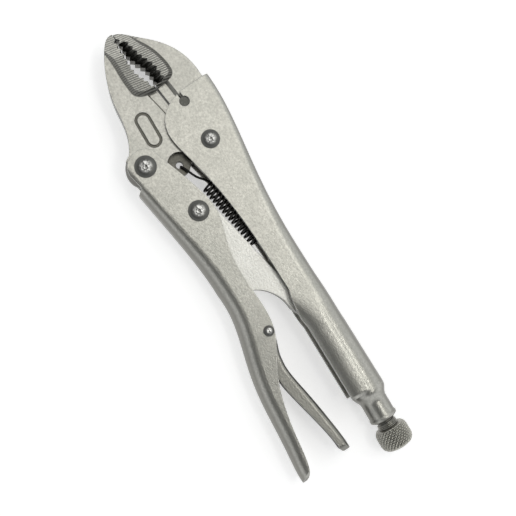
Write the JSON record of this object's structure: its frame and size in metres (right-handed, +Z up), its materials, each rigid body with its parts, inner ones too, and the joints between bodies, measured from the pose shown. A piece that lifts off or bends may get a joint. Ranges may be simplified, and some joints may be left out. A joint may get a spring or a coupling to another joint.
{
  "type": "locking pliers",
  "caption": "Curved-jaw locking pliers with wire cutter: toothed jaws, pressed channel handles, toggle link, release lever, return spring and knurled adjusting screw.",
  "frame": {"origin": "on the surface the closed pliers lie on, straight below the jaw pivot", "axes": "-X towards the jaw tips, +X towards the adjusting knob, +Y towards the spine of the fixed handle, +Z up along the pivots"},
  "size_m": [0.2496, 0.0626, 0.0182],
  "materials": {
    "plated_sheet": "blasted satin nickel plate",
    "forged_jaw": "blasted satin nickel plate, fine ridges on the grip bands",
    "link_steel": "dull plated sheet with ground edges",
    "rivet_steel": "peened, bright in the middle",
    "spring_steel": "oil-blackened wire",
    "screw_steel": "rolled thread",
    "knob_steel": "diamond knurl"
  },
  "bodies": {
    "frame": {"fixed_handle": "plated_sheet", "fixed_jaw": "forged_jaw", "fixed_jaw_pin": "rivet_steel", "jaw_pivot_rivet": "rivet_steel", "return_spring": "spring_steel"},
    "jaw": {"movable_jaw": "forged_jaw"},
    "handle": {"lower_handle": "plated_sheet", "jaw_handle_rivet": "rivet_steel", "toggle_rivet": "rivet_steel", "release_lever_pin": "rivet_steel"},
    "link": {"toggle_link": "link_steel"},
    "lever": {"release_lever": "plated_sheet"},
    "screw": {"adjusting_screw": "screw_steel"},
    "knob": {"screw_knob": "knob_steel"}
  },
  "joints": [
    {"name": "jaw_open", "type": "hinge", "parent": "frame", "child": "jaw", "pos_m": [0, 0, 0.0091], "axis": [0, 0, 1], "range_deg": [0, 14], "deforming": ["return_spring"]},
    {"name": "handle_open", "type": "hinge", "parent": "jaw", "child": "handle", "pos_m": [-0.00355, -0.0346, 0.0091], "axis": [0, 0, -1], "range_deg": [0, 54]},
    {"name": "link_swing", "type": "hinge", "parent": "handle", "child": "link", "pos_m": [0.0279, -0.0231, 0.0091], "axis": [0, 0, 1], "range_deg": [0, 56]},
    {"name": "lever_press", "type": "hinge", "parent": "handle", "child": "lever", "pos_m": [0.0959, -0.0234, 0.0091], "axis": [0, 0, -1], "range_deg": [0, 6.5]},
    {"name": "screw_feed", "type": "slide", "parent": "frame", "child": "screw", "axis": [1, 0, 0], "range_m": [0, 0.012]},
    {"name": "knob_turn", "type": "hinge", "parent": "screw", "child": "knob", "pos_m": [0.174, 0.0053, 0.0091], "axis": [1, 0, 0], "range_deg": [0, 2700]}
  ],
  "couplings": [
    {"joint": "jaw_open", "follows": "handle_open", "ratio": 0.25926},
    {"joint": "link_swing", "follows": "handle_open", "ratio": 1.037},
    {"joint": "knob_turn", "follows": "screw_feed", "rad_per_m": 3926.9}
  ]
}
